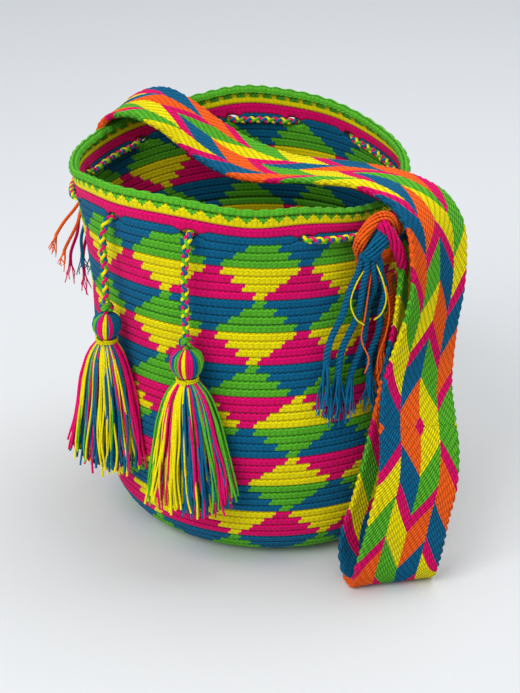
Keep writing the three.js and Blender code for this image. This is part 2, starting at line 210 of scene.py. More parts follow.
def yarn_finish(name, code, dark_tone_and_shade_code, pattern=None, fibre_mm=0.9, between=0.18):
    """Dyed yarn. The second colour is the same dye darker: fibres and dye-bath patches lean towards it at
    random, and it is painted as shade deep between the yarns; between is how much of the bright colour the
    deepest grooves keep.
    pattern is the relief of worked yarn, read from the piece's own map; loose yarn has none. fibre_mm is
    coarser than the real fibres so that they show."""
    finish = bpy.data.materials.new(name)
    finish.use_nodes = True
    tree = finish.node_tree
    tree.nodes.clear()
    place = add(tree, "ShaderNodeTexCoord", output="Object")
    fibre = add(tree, "ShaderNodeTexNoise", {"Vector": place, "Scale": 1000 / fibre_mm,
                                             "Detail": 3.0, "Roughness": 0.65}, "Fac")
    patch = add(tree, "ShaderNodeTexNoise", {"Vector": place, "Scale": 1000 / PATCH_MM,
                                             "Detail": 2.0}, "Fac")
    fluff = add(tree, RANGE, {"Value": fibre, "From Min": 0.28, "From Max": 0.62,
                              "To Min": 0.45, "To Max": 1.0}, "Result")
    bath = add(tree, RANGE, {"Value": patch, "From Min": 0.3, "From Max": 0.6,
                             "To Min": 0.88, "To Max": 1.0}, "Result")
    tone_and_shade = add(tree, MATH, {0: fluff, 1: bath}, operation="MULTIPLY")
    if pattern:
        across = add(tree, "ShaderNodeSeparateXYZ", {
            "Vector": add(tree, "ShaderNodeUVMap", output="UV", uv_map="stitches")}, "X")
        relief = pattern(tree, across, across.node.outputs["Y"])
        # painted shade: the colour sinks towards the darker dye colour in the relief's grooves
        crown = add(tree, RANGE, {"Value": relief, "From Min": 0.0, "From Max": 0.95,
                                  "To Min": between, "To Max": 1.0}, "Result")
        height = add(tree, MATH, {0: fibre, 1: 0.35, 2: relief}, operation="MULTIPLY_ADD")
        bump_mm = 0.9
    else:
        # painted shade: loose yarns are coloured darker where they press against one another
        crease_shade = add(tree, "ShaderNodeAmbientOcclusion", {"Distance": CREASE_MM * MM}, "AO", samples=6)
        crown = add(tree, RANGE, {"Value": crease_shade, "From Min": 0.2, "From Max": 0.85,
                                  "To Min": 0.12, "To Max": 1.0}, "Result")
        height = fibre
        bump_mm = 0.35
    # random tone from the fibres and the dye bath, times the painted shade
    tone_and_shade = add(tree, MATH, {0: tone_and_shade, 1: crown}, operation="MULTIPLY")
    colour = add(tree, "ShaderNodeMix", {0: tone_and_shade, 6: linear(dark_tone_and_shade_code), 7: linear(code)}, 2,
                 data_type="RGBA")
    bump = add(tree, "ShaderNodeBump", {"Height": height, "Distance": bump_mm * MM, "Strength": 0.9})
    shader = add(tree, "ShaderNodeBsdfPrincipled", {
        "Base Color": colour, "Roughness": 0.88, "Normal": bump, "Sheen Weight": 0.04,
        "Sheen Roughness": 0.5, "Specular IOR Level": 0.12})
    add(tree, "ShaderNodeOutputMaterial", {"Surface": shader})
    return finish


# each dye: its name, its colour on the crown of the yarn, and a darker colour for random tone and for painted
# shade deep between the yarns
DYES = [("blue", "#006c98", "#002c42"), ("green", "#63c42c", "#1c5a08"), ("yellow", "#fff200", "#a58a00"),
        ("magenta", "#fb0073", "#7c0030"), ("orange", "#ff6f1c", "#c43000")]
# Crocheted cotton: quite matte, bright on the crown of each stitch, with painted shade deep between the rows.
CROCHET = [yarn_finish("crochet_cotton_" + n, c, d, stitch_relief) for n, c, d in DYES[:4]]
# Woven cotton strap: the same yarn lying flatter, so that less shade is painted into its grooves.
WOVEN = [yarn_finish("strap_weave_" + n, c, d, weave_relief, between=0.28) for n, c, d in DYES]
# Loose spun yarn of the braids, tassels and cords: fluffy, with painted shade only where strands touch.
LOOSE = [yarn_finish("loose_yarn_" + n, c, d, fibre_mm=1.3) for n, c, d in DYES]


# ---------------------------------------------------------------- mesh and tree helpers
def plain_mesh(name, points, faces=(), edges=(), shade=None, uv=None, **per_point):
    """A mesh from millimetre points. shade is a yarn number for each face, or for each
    point where there are only edges; the other values are one for each point."""
    mesh = bpy.data.meshes.new(name)
    mesh.from_pydata((np.asarray(points) * MM).tolist(), edges, faces)
    if shade is not None:
        domain = "FACE" if len(faces) else "POINT"
        mesh.attributes.new("shade", "INT", domain).data.foreach_set("value", np.asarray(shade, np.int32))
    if uv is not None:
        mesh.uv_layers.new(name="stitches").data.foreach_set("uv", np.asarray(uv, np.float32).ravel())
    for key, values in per_point.items():
        values = np.asarray(values, np.float32)
        kind, field = ("FLOAT_VECTOR", "vector") if values.ndim == 2 else ("FLOAT", "value")
        mesh.attributes.new(key, kind, "POINT").data.foreach_set(field, values.ravel())
    return mesh


def new_tree(name, **sizes):
    """An empty geometry tree with a named input for each size."""
    tree = bpy.data.node_groups.new(name, "GeometryNodeTree")
    tree.interface.new_socket("Geometry", in_out="INPUT", socket_type="NodeSocketGeometry")
    tree.interface.new_socket("Geometry", in_out="OUTPUT", socket_type="NodeSocketGeometry")
    for label, value in sizes.items():
        kind = "NodeSocketInt" if isinstance(value, int) else "NodeSocketFloat"
        tree.interface.new_socket(label, in_out="INPUT", socket_type=kind).default_value = value
    return tree, add(tree, "NodeGroupInput").node.outputs


def end_tree(tree, geometry, finishes):
    """Ends a tree: smooth, real, and each yarn number in its own finish."""
    geometry = add(tree, "GeometryNodeSetShadeSmooth", {"Geometry": geometry})
    geometry = add(tree, "GeometryNodeRealizeInstances", {"Geometry": geometry})
    number = add(tree, "GeometryNodeInputNamedAttribute", {"Name": "shade"}, data_type="INT")
    for i, finish in enumerate(finishes):
        here = add(tree, "FunctionNodeCompare", {2: number, 3: i}, data_type="INT", operation="EQUAL")
        geometry = add(tree, "GeometryNodeSetMaterial", {
            "Geometry": geometry, "Selection": here, "Material": finish})
    add(tree, "NodeGroupOutput", {0: geometry})


def grow(name, mesh, tree, **sizes):
    """Runs a tree over a mesh and keeps what it makes as a plain mesh."""
    piece = bpy.data.objects.new(name, mesh)
    bpy.context.scene.collection.objects.link(piece)
    modifier = piece.modifiers.new("grow", "NODES")
    modifier.node_group = tree
    for socket in tree.interface.items_tree:
        if socket.in_out == "INPUT" and socket.name in sizes:
            modifier[socket.identifier] = sizes[socket.name]
    bpy.context.view_layer.update()
    made = bpy.data.meshes.new_from_object(piece.evaluated_get(bpy.context.evaluated_depsgraph_get()))
    piece.modifiers.clear()
    piece.data = made
    made.name = name
    return piece


def relief_tree(name, pattern, finishes):
    """Raises a grid's points along their own way out by a stitch pattern."""
    tree, given = new_tree(name, Depth=0.0012)
    across, up = [add(tree, "GeometryNodeInputNamedAttribute", {"Name": key}, data_type="FLOAT")
                  for key in ("across", "up")]
    out = add(tree, "GeometryNodeInputNamedAttribute", {"Name": "out"}, data_type="FLOAT_VECTOR")
    height = add(tree, MATH, {0: pattern(tree, across, up), 1: given["Depth"]}, operation="MULTIPLY")
    rise = add(tree, "ShaderNodeVectorMath", {0: out, "Scale": height}, operation="SCALE")
    raised = add(tree, "GeometryNodeSetPosition", {"Geometry": given["Geometry"], "Offset": rise})
    end_tree(tree, raised, finishes)
    return tree


def yarn_tree(name, finishes):
    """Sweeps lines into yarn: a lobed round section that turns as it goes, with closed ends.
    Turns are for each metre."""
    tree, given = new_tree(name, Sides=6, Plies=3, Lobe=0.0, Turns=0.0)
    thick = add(tree, "GeometryNodeInputNamedAttribute", {"Name": "thick"}, data_type="FLOAT")
    line = add(tree, "GeometryNodeMeshToCurve", {"Mesh": given["Geometry"]})
    travelled = add(tree, "GeometryNodeSplineParameter", output="Length")
    turned = add(tree, MATH, {0: travelled, 1: given["Turns"]}, operation="MULTIPLY")
    turned = add(tree, MATH, {0: turned, 1: 2 * math.pi}, operation="MULTIPLY")
    line = add(tree, "GeometryNodeSetCurveTilt", {"Curve": line, "Tilt": turned})
    ring = add(tree, "GeometryNodeCurvePrimitiveCircle", {"Resolution": given["Sides"], "Radius": 1.0})
    wave = add(tree, MATH, {0: add(tree, "GeometryNodeInputIndex"), 1: given["Sides"]}, operation="DIVIDE")
    wave = add(tree, MATH, {0: wave, 1: given["Plies"]}, operation="MULTIPLY")
    wave = add(tree, MATH, {0: wave, 1: 2 * math.pi}, operation="MULTIPLY")
    wave = add(tree, MATH, {0: wave}, operation="COSINE")
    swell = add(tree, MATH, {0: wave, 1: given["Lobe"]}, operation="MULTIPLY")
    push = add(tree, "ShaderNodeVectorMath", {0: add(tree, "GeometryNodeInputPosition"), "Scale": swell},
               operation="SCALE")
    ring = add(tree, "GeometryNodeSetPosition", {"Geometry": ring, "Offset": push})
    yarn = add(tree, "GeometryNodeCurveToMesh", {
        "Curve": line, "Profile Curve": ring, "Scale": thick, "Fill Caps": True})
    end_tree(tree, yarn, finishes)
    return tree


CROCHET_TREE = relief_tree("crochet", stitch_relief, CROCHET)
WEAVE_TREE = relief_tree("weave", ridge_relief, WOVEN)
YARN_TREE = yarn_tree("yarn", LOOSE)


def place_piece(piece, node=None):
    """Puts a piece on the bag, in place of a plain solid where it has one."""
    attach(piece, "root")
    if node:
        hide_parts(node)
    return piece


# ---------------------------------------------------------------- paths and ropes
def smooth_through(points, count):
    """That many points on one smooth curve through a table of points."""
    p = np.asarray([np.asarray(q, float) for q in points])
    ext = np.vstack([2 * p[0] - p[1], p, 2 * p[-1] - p[-2]])
    gaps = len(p) - 1
    t = np.linspace(0, gaps, count)
    i = np.minimum(t.astype(int), gaps - 1)
    w = (t - i)[:, None]
    a, b, c, d = ext[i], ext[i + 1], ext[i + 2], ext[i + 3]
    return ((2 * w**3 - 3 * w**2 + 1) * b + (w**3 - 2 * w**2 + w) * 0.5 * (c - a)
            + (-2 * w**3 + 3 * w**2) * c + (w**3 - w**2) * 0.5 * (d - b))


def lengths(path):
    """How far along a path each of its points is."""
    return np.concatenate([[0], np.cumsum(np.linalg.norm(np.diff(path, axis=0), axis=1))])


def even(path, step):
    """The same path with its points an even step apart."""
    along = lengths(path)
    marks = np.linspace(0, along[-1], max(3, int(round(along[-1] / step)) + 1))
    return np.stack([np.interp(marks, along, path[:, k]) for k in range(3)], 1)


def spline(points, step):
    """A smooth route through set points, with its own points an even step apart."""
    return even(smooth_through(points, 40 * (len(points) - 1) + 1), step)


def frames(path):
    """The way along a path, and two side vectors that follow it without turning about it."""
    tangent = np.gradient(path, axis=0)
    tangent /= np.linalg.norm(tangent, axis=1)[:, None]
    side = np.cross(tangent[0], [0.3, 0.9, 0.31])
    sides = []
    for t in tangent:
        side = side - t * np.dot(side, t)
        side = side / np.linalg.norm(side)
        sides.append(side)
    sides = np.array(sides)
    return tangent, sides, np.cross(tangent, sides)


def circling(side, other, r, angle):
    """Steps from a line to places round it, at a radius and an angle."""
    return side * (r * np.cos(angle))[:, None] + other * (r * np.sin(angle))[:, None]


def rope(path, count, radius, thick, turns, shades, wobble=0.0):
    """Yarns laid round a path, each a line with its radius and its yarn number.
    Turns are for each metre."""
    tangent, side, other = frames(path)
    s = lengths(path)
    yarns = []
    for i in range(count):
        angle = 2 * math.pi * (i / count + s * turns * MM)
        r = radius * (1 + wobble * np.sin(s / 7 + i * 2.4))
        yarns.append((path + circling(side, other, r, angle), thick / 2, shades[i % len(shades)]))
    return yarns


def make_yarns(name, yarns, sides=6, plies=3, lobe=0.0, turns=0.0):
    """Sweeps all the yarns of a piece at once."""
    points, edges, thick, shade = [], [], [], []
    start = 0
    for line, radius, number in yarns:
        points.append(line)
        edges += [(k, k + 1) for k in range(start, start + len(line) - 1)]
        start += len(line)
        thick.append(np.broadcast_to(np.asarray(radius, float), (len(line),)) * MM)
        shade.append(np.full(len(line), number))
    mesh = plain_mesh(name, np.vstack(points), edges=edges, shade=np.concatenate(shade),
                      thick=np.concatenate(thick))
    return grow(name, mesh, YARN_TREE, Sides=sides, Plies=plies, Lobe=lobe, Turns=turns)


# ---------------------------------------------------------------- outline of the wall
BASE_ROUNDS = 18
ROLL_Z = 307.2                  # middle of the rolled edge
ROLL_FAT = 3.1                  # its radius


def profile_table():
    """Row number against the wall's outline, from the middle of the base to the rim."""
    turn = np.linspace(0, math.pi / 2, 200)
    wide = float(belly_radius(np.array(CORNER))) - BASE_RADIUS
    r, z = BASE_RADIUS + wide * np.sin(turn), CORNER * (1 - np.cos(turn))
    arc = np.concatenate([[0], np.cumsum(np.hypot(np.diff(r), np.diff(z)))])
    # rounds -2 to 0 lie where the turn starts, and rows 0 to 4 share the climb to the first band's top
    lift, band = np.interp([3.3, BAND * ROW], z, arc)
    row = np.where(arc < lift, -2 * (1 - arc / lift),
                   np.where(arc < band, BAND * (arc - lift) / (band - lift), z / ROW))
    straight = np.arange(CORNER + 2, MAGENTA_ROW * ROW, 2.0)
    flat = np.arange(-BASE_ROUNDS, -2.0, 0.25)
    up_z = np.concatenate([straight, [MAGENTA_ROW * ROW, 297.6, 306.2]])
    rows = np.concatenate([flat, row, straight / ROW, [MAGENTA_ROW, DIPS_ROW, ROLL_ROW]])
    radii = np.concatenate([BASE_RADIUS + (flat + 2) * 6.5, r, belly_radius(up_z)])
    return rows, radii, np.concatenate([0 * flat, z, up_z])


ROWS, RADII, HEIGHTS = profile_table()


def outline(row):
    """Radius, height and the way out of the wall's outer face at a row."""
    e = 0.3
    before, here, after = [(np.interp(k, ROWS, RADII), np.interp(k, ROWS, HEIGHTS))
                           for k in (row - e, row, row + e)]
    dr, dz = after[0] - before[0], after[1] - before[1]
    size = math.hypot(dr, dz)
    return here[0], here[1], dz / size, -dr / size


def lean_degrees(row):
    """How far the upright line of stitches has drifted round by a row."""
    k = row / BAND
    return -104.9 + 1.5 * k if k < 5 else -97.4 + 2.55 * (k - 5)


def stitches_in_round(row):
    """The base has fewer stitches in each round, the closer it is to the middle."""
    middle = math.floor(row + 1e-6) + 0.5
    return max(12, round(2 * math.pi * np.interp(middle, ROWS, RADII) / 4.3))


def ripple(angle):
    """The rim's small ups and downs."""
    d = np.degrees((angle + math.pi) % (2 * math.pi) - math.pi)
    return (1.3 * np.exp(-((d + 52) / 12) ** 2) - 3.2 * np.exp(-((d + 82) / 14) ** 2)
            + 1.0 * np.sin(5 * angle + 1) + 0.7 * np.sin(9 * angle))


# ---------------------------------------------------------------- pattern of the wall
UPRIGHT_BANDS = (10, 8, 6, 5, 3, 0)
SHIFTED_BANDS = (2, 3, 4, 5)    # their motifs stand half a motif round
MOTIF_WIDTHS = (2, 6, 10, 14)


def stitch_colour(s, row):
    """Yarn number of a stitch: bands of stepped motifs, upright and hanging."""
    if row < 0:
        return base_colour(s, row)
    if row >= ROLL_ROW:
        return np.full(np.shape(s), GREEN)
    if row >= DIPS_ROW:
        wave = np.abs(2 * ((s / 3) % 1) - 1)
        return np.where(row - DIPS_ROW > 0.36 + 0.6 * (1 - wave), GREEN, YELLOW)
    if row >= MAGENTA_ROW:
        return np.full(np.shape(s), MAGENTA)
    band = math.floor(row / BAND)
    ground, motif = (BLUE, GREEN) if band % 2 == 0 else (MAGENTA, YELLOW)
    from_top = 3 - (math.floor(row) - band * BAND)
    width = MOTIF_WIDTHS[from_top if band in UPRIGHT_BANDS else 3 - from_top]
    if band == 10 and from_top == 0:
        width = 0
    shift = 8 if band in SHIFTED_BANDS else 0
    # the loop over a stitch leans half a stitch on
    over = 0.5 if row - math.floor(row) > 0.62 else 0.0
    m = (s - over + shift + MOTIF / 2) % MOTIF - MOTIF / 2
    return np.where(np.abs(m) < width / 2, motif, ground)


def base_colour(s, row):
    """The base disc: stepped motifs in rounds that close on the middle."""
    if row > -1:
        return np.full(np.shape(s), GREEN)
    ring, inside = divmod(int(-row - 1), 4)
    odd = ring % 2
    ground, motif = (MAGENTA, YELLOW) if odd else (BLUE, GREEN)
    share = (0.15, 0.4, 0.65, 0.85)[inside if odd else 3 - inside]
    m = np.abs(((s + odd * MOTIF / 2) / MOTIF) % 1 - 0.5) * 2
    return np.where(m < share, motif, ground)


# ---------------------------------------------------------------- crocheted wall
CROWN_SINK = 0.8                # the relief starts this far in, so that its crowns come near the outline
BASE_SINK = 1.25                # under the base they touch the ground and no more


def ring_at(row, count, inner=False, turn=None):
    """One ring of points round the wall and their way out. turn, in radians, is how far
    round the rolled edge the ring lies."""
    s = np.arange(count) * STITCHES / count
    drift = lean_degrees(row if turn is None else 46.42 + 0.6 * turn)
    angle = np.radians(drift + s * 360 / STITCHES)
    r, z, nr, nz = outline(min(row, ROLL_ROW))
    sink = BASE_SINK if row < 1 and not inner else CROWN_SINK
    if turn is not None:
        nr, nz, sink = math.cos(turn), math.sin(turn), 0.0
        fat = ROLL_FAT * (1 + 0.16 * np.cos(2 * math.pi * s / 3))
        r, z = r - WALL / 2 + fat * nr, ROLL_Z + fat * nz
    elif inner:
        r, z, nr, nz = r - nr * WALL, z - nz * WALL, -nr, -nz
    r = r - nr * sink
    z = z - nz * sink + ripple(angle) * min(1, max(0, (row - 36) / 9)) ** 2
    here = settle(r, angle, z)
    out = settle(r + nr * 0.5, angle, z + nz * 0.5) - here
    out /= np.linalg.norm(out, axis=1)[:, None]
    across = s * stitches_in_round(row) / STITCHES if row < 0 else s
    return {"count": count, "xyz": here, "out": out, "row": row, "across": across, "inner": inner}


def squeeze_eyelets(ring, eyelets):
    """Draws the rows together at both ends of each eyelet, so that it closes to a point."""
    row = ring["row"]
    pull = row - 42 if row <= 43 else ((43.5 - row) / 0.5 if row <= 44 else row - 45)
    s = np.arange(ring["count"]) * STITCHES / ring["count"]
    for first in eyelets:
        d = np.abs((s - first - 1.5 + STITCHES / 2) % STITCHES - STITCHES / 2) / 1.5
        gap = np.where(d < 1, np.maximum(0.2, np.clip(1 - d * d, 0, 1) ** 0.75), 0.2 + 0.8 * (d - 1) / 0.9)
        ring["xyz"][:, 2] += 0.5 * np.clip(1 - 0.8 * gap, 0, 1) * (d < 1.9) * pull * ROW


def strip(a, b, eyelets):
    """The faces between two rings, with their corners on the stitch map and their yarn."""
    middle = (a["row"] + b["row"]) / 2
    scale = stitches_in_round(middle) / STITCHES if middle < 0 else 1.0
    n = min(a["count"], b["count"])
    i = np.arange(n)
    j = (i + 1) % n
    step = STITCHES / n
    s = i * step
    keep = np.ones(n, bool)
    if a["count"] == b["count"]:
        shapes = [[(a, i, s), (a, j, s + step), (b, j, s + step), (b, i, s)]]
        if EYELET_ROW < middle < EYELET_ROW + 1:
            for first in eyelets:
                keep &= (s - first + 0.001) % STITCHES >= EYELET_WIDE
    else:
        fine, coarse = (a, b) if a["count"] > b["count"] else (b, a)
        half = (fine, 2 * i + 1, s + step / 2)
        shapes = [[(fine, 2 * i, s), half, (coarse, i, s)],
                  [half, (fine, (2 * i + 2) % (2 * n), s + step), (coarse, j, s + step)],
                  [half, (coarse, j, s + step), (coarse, i, s)]]
        if fine is b:
            shapes = [shape[::-1] for shape in shapes]
    paint = stitch_colour(s + step / 2, middle)[keep]
    patches = []
    for shape in shapes:
        faces = np.stack([ring["start"] + k for ring, k, at in shape], 1)[keep]
        corners = [np.stack([at * scale, np.full(n, ring["row"])], 1) for ring, k, at in shape]
        patches.append((faces, np.stack(corners, 1)[keep].reshape(-1, 2), paint))
    return patches


def eyelet_edge(rings, first, inner):
    """The points round an eyelet on one side of the wall, each with its way round, 0 to 4."""
    near = [r for r in rings if r["inner"] == inner and EYELET_ROW - 0.01 < r["row"] < EYELET_ROW + 1.01]
    near.sort(key=lambda r: r["row"])
    count = near[0]["count"]
    wide = EYELET_WIDE * count // STITCHES
    left = round(first * count / STITCHES)
    tall = len(near) - 1
    loop = [(near[0], left + c, c / wide) for c in range(wide)]
    loop += [(r, left + wide, 1 + n / tall) for n, r in enumerate(near[:-1])]
    loop += [(near[-1], left + wide - c, 2 + c / wide) for c in range(wide)]
    loop += [(r, left, 3 + n / tall) for n, r in enumerate(near[:0:-1])]
    return [(r["start"] + c % count, t) for r, c, t in loop]


def eyelet_wall(rings, first):
    """Lines one eyelet: joins its outer edge to its inner edge through the wall."""
    outer, inner = eyelet_edge(rings, first, False), eyelet_edge(rings, first, True)
    faces = []
    i = j = 0
    while i < len(outer) or j < len(inner):
        next_outer = outer[i + 1][1] if i + 1 < len(outer) else 4.0
        next_inner = inner[j + 1][1] if j + 1 < len(inner) else 4.0
        o, n = outer[i % len(outer)][0], inner[j % len(inner)][0]
        if j >= len(inner) or (i < len(outer) and next_outer <= next_inner):
            i += 1
            faces.append([o, outer[i % len(outer)][0], n])
        else:
            j += 1
            faces.append([o, inner[j % len(inner)][0], n])
    # the lining's corners all sit at the stitch map's origin, where the relief is nil, so the lining takes
    # the darkest painted shade
    return np.array(faces), np.zeros((3 * len(faces), 2)), np.full(len(faces), BLUE)


def cap(ring, start, last):
    """Closes a ring with a fan to its middle, which is the next point."""
    middle = {"count": 1, "xyz": ring["xyz"].mean(0)[None], "out": np.zeros((1, 3)), "row": 0.0,
              "across": np.zeros(1)}
    i = np.arange(ring["count"])
    trio = [ring["start"] + i, ring["start"] + (i + 1) % len(i), np.full(len(i), start)]
    faces = np.stack(trio if last else trio[::-1], 1)
    # the fan's corners sit at the stitch map's origin too, so the middle takes the darkest painted shade
    return middle, (faces, np.zeros((3 * len(i), 2)), np.full(len(i), GREEN))


def crochet_piece(name, rings, closed=True, eyelets=()):
    """Joins rings into one closed body and raises its stitches."""
    start = 0
    for ring in rings:
        ring["start"] = start
        start += ring["count"]
        if eyelets and EYELET_ROW - 1 < ring["row"] < EYELET_ROW + 2:
            squeeze_eyelets(ring, eyelets)
    pairs = list(zip(rings[:-1], rings[1:])) + ([(rings[-1], rings[0])] if closed else [])
    patches = [patch for a, b in pairs for patch in strip(a, b, eyelets)]
    patches += [eyelet_wall(rings, first) for first in eyelets]
    middles = []
    if not closed:
        for ring, last in ((rings[0], False), (rings[-1], True)):
            middle, patch = cap(ring, start + len(middles), last)
            middles.append(middle)
            patches.append(patch)
    rings = rings + middles
    across = np.concatenate([r["across"] for r in rings])
    up = np.concatenate([np.full(r["count"], float(r["row"])) for r in rings])
    # no two stitches are quite as big; the table has room for every row and round
    unevenness = chance.uniform(0.85, 1.12, (80, STITCHES + 1))
    size = unevenness[np.floor(up).astype(int) % 80, np.floor(across).astype(int) % STITCHES]
    mesh = plain_mesh(name, np.vstack([r["xyz"] for r in rings]),
                      faces=[face for faces, uv, paint in patches for face in faces.tolist()],
                      shade=np.concatenate([paint for faces, uv, paint in patches]),
                      uv=np.vstack([uv for faces, uv, paint in patches]),
                      across=across, up=up, out=np.vstack([r["out"] for r in rings]) * size[:, None])
    return grow(name, mesh, CROCHET_TREE, Depth=0.00125)


def rows_between(low, high, per_row):
    """Rings from one row to another, so many to each row."""
    return np.linspace(low, high, int(round((high - low) * per_row)) + 1)


def outer_rings(low, high):
    """The outside of the wall, five rings to a row so that each stitch has its relief."""
    return [ring_at(v, 4 * STITCHES) for v in rows_between(low, high, 5)]


def inner_rings(low, high):
    """The inside, back down again, plainer because little of it shows."""
    return [ring_at(v, 2 * STITCHES, inner=True) for v in rows_between(low, high, 2)[::-1]]


def eyelet_stitch(degrees):
    """The first stitch of an eyelet at an angle."""
    middle = (degrees - lean_degrees(EYELET_ROW + 0.5)) / 360 * STITCHES
    return round(middle % STITCHES - EYELET_WIDE / 2) % STITCHES


def wall_top(name, low):
    """The eyelets, the edging rows and the edge that rolls over to the inside."""
    roll = []
    for v in rows_between(0, 3, 6)[1:-1]:
        roll.append(ring_at(ROLL_ROW + v * 2 / 3, 4 * STITCHES, turn=math.radians(-12 + 232 * v / 3)))
    return crochet_piece(name, outer_rings(low, ROLL_ROW) + roll + inner_rings(low, ROLL_ROW),
                         eyelets=[eyelet_stitch(d) for d in EYELETS])


def wall_ring(name, low, high):
    """A band of the wall with its outside and its inside."""
    return crochet_piece(name, outer_rings(low, high) + inner_rings(low, high))


def wall_bottom(name, high):
    """The base disc with the first rows of the wall; small caps close its middle."""
    base = [ring_at(v, 2 * STITCHES) for v in rows_between(-BASE_ROUNDS, -0.34, 3)]
    floor_inside = [ring_at(v, 2 * STITCHES, inner=True) for v in rows_between(-BASE_ROUNDS, -1, 1)[::-1]]
    wall = outer_rings(0, high) + inner_rings(0, high)
    return crochet_piece(name, base + wall + floor_inside, closed=False)


for piece in (wall_top("bag_wall_top", 33), wall_ring("bag_wall_upper", 22, 33),
              wall_ring("bag_wall_lower", 11, 22), wall_bottom("bag_wall_base", 11)):
    place_piece(piece, "bag_body")

# ---------------------------------------------------------------- woven strap
STRAP_WIDE = 70.0
STRAP_THICK = 3.2
COLUMN = STRAP_WIDE / 4         # the pattern has four columns
SLANT = 27.0                    # how far a stripe climbs across one column
HALF = 79.0                     # half of the stripe sequence, along the strap
RIDGE = 4.0                     # spacing of the yarn ridges, along the strap
OVAL = 5.2                      # length of one oval of yarn, along its ridge
EDGE_LOOP = 6.6                 # spacing of the loops along both edges
MIRROR = 22.2 / 41              # share of the route at which the pattern turns round
# middle of the band, then the direction across it, from the left end over the
# mouth, down to the fold on the ground and back up to the right end
STRAP_ROUTE = [
    (-144, 104, 277, 0.60, 0.79, 0.10), (-145.5, 104, 294, 0.60, 0.79, 0.13),
    (-140, 101.5, 310, 0.56, 0.82, 0.18), (-127, 95, 323, 0.50, 0.86, 0.19),
    (-106, 83, 330, 0.45, 0.89, 0.14), (-82, 71, 323, 0.45, 0.89, 0.03),
    (-61, 60, 311, 0.48, 0.88, 0.02), (-41, 49, 300, 0.52, 0.86, 0.04),
    (-20, 36, 293, 0.55, 0.84, 0.05), (1, 21, 291, 0.56, 0.83, 0.02),
    (23, 7, 293, 0.58, 0.81, -0.01), (44, -8, 297, 0.60, 0.80, -0.04),
    (64, -24, 301, 0.63, 0.77, -0.06), (84, -40, 304, 0.66, 0.74, -0.10),
    (102, -57, 303, 0.69, 0.71, -0.11), (118, -75, 297, 0.72, 0.69, -0.13),
    (129, -90, 281, 0.72, 0.67, -0.19), (131, -100, 259, 0.70, 0.67, -0.25),
    (130, -109, 235, 0.67, 0.68, -0.30), (125, -117, 210, 0.68, 0.65, -0.33),
    (120, -124, 185, 0.75, 0.57, -0.31), (116, -133, 161, 0.84, 0.47, -0.27),
    (116, -145, 138, 0.91, 0.37, -0.21), (117, -157, 115, 0.94, 0.31, -0.20),
    (115, -167, 91, 0.93, 0.29, -0.22), (109, -174, 67, 0.93, 0.28, -0.22),
    (104, -179, 43, 0.95, 0.25, -0.16), (99, -180, 20, 0.97, 0.20, -0.06),
    (97, -172, 4.5, 0.98, 0.18, 0.00), (92, -158, 4.5, 0.97, 0.20, 0.00),
    (87, -148, 17, 0.95, 0.27, -0.06), (87, -143, 36, 0.91, 0.38, -0.16),
    (92, -139, 58, 0.84, 0.47, -0.26), (97, -134, 82, 0.79, 0.54, -0.28),
    (101, -128, 106, 0.74, 0.60, -0.28), (105, -121, 131, 0.70, 0.66, -0.29),
    (108, -114, 156, 0.65, 0.70, -0.29), (111, -106, 181, 0.60, 0.74, -0.30),
    (114, -98, 206, 0.54, 0.78, -0.31), (114, -93, 231, 0.50, 0.81, -0.31),
    (109, -91, 253, 0.48, 0.83, -0.31), (102, -93, 273, 0.48, 0.83, -0.31),
]


def strap_lines():
    """The band's middle line and its across and face directions, finely."""
    both = smooth_through(STRAP_ROUTE, 4001)
    middle, across = both[:, :3], both[:, 3:]
    forward = np.gradient(middle, axis=0)
    forward /= np.linalg.norm(forward, axis=1)[:, None]
    face = np.cross(forward, across)
    face /= np.linalg.norm(face, axis=1)[:, None]
    return middle, np.cross(face, forward), face


def stripe(p):
    """Yarn number at a place in the stripe sequence."""
    p = (p + 6.5) % (2 * HALF) - 6.5
    return np.select([p < 7.5, p < 40, p < 72.5, p < 86.5, p < 119, p < 151.5],
                     [MAGENTA, YELLOW, GREEN, MAGENTA, ORANGE, BLUE], MAGENTA)


def strap_colour(x, y):
    """x counts the four columns, y runs along the strap from the middle of its pattern."""
    y = np.abs(y)
    return np.select([x < 1, x < 2, x < 3],
                     [stripe(y - 16.5 - SLANT * (1 - x)), stripe(y + HALF + SLANT * (2 - x)),
                      stripe(y + SLANT * (x - 2))], stripe(y + HALF - 16.5 - SLANT * (x - 3)))


def along_strap(p):
    """Where a place in the pattern lies: over the mouth the band is pulled a little longer."""
    return np.where(p < 0, -np.interp(-p, [0, 175, 224, 365, 560], [0, 175, 250, 415, 644]), p)


def strap_section(x, s, total):
    """How far out across, how thick and how curled the band is at a place."""
    ends = np.clip(np.where(s < total / 2, s / (0.11 * total), (total - s) / (0.045 * total)), 0, 1)
    ends = ends * ends * (3 - 2 * ends)
    lobe = np.abs(np.sin(math.pi * s / EDGE_LOOP))
    # the band is gathered to a third of its width where it meets its loops
    x_now = (x + np.sign(x) * (1.5 * lobe - 1.0) * (np.abs(x) > 33)) * (0.32 + 0.68 * ends)
    flat = np.sqrt(np.clip(1 - (np.abs(x) / 35.8) ** 8, 0.04, 1))
    edge = np.clip((np.abs(x) - 28.5) / 2.5, 0, 1)
    thick = (STRAP_THICK / 2 - 0.85 + edge * 0.9 * (0.3 + 0.7 * lobe)) * (1 + 1.1 * (1 - ends)) * flat
    # the edges curl a little and the band is never quite flat
    curl = np.sin(s / 31.0) * (x / 35) ** 2 * ends
    return x_now, thick, curl


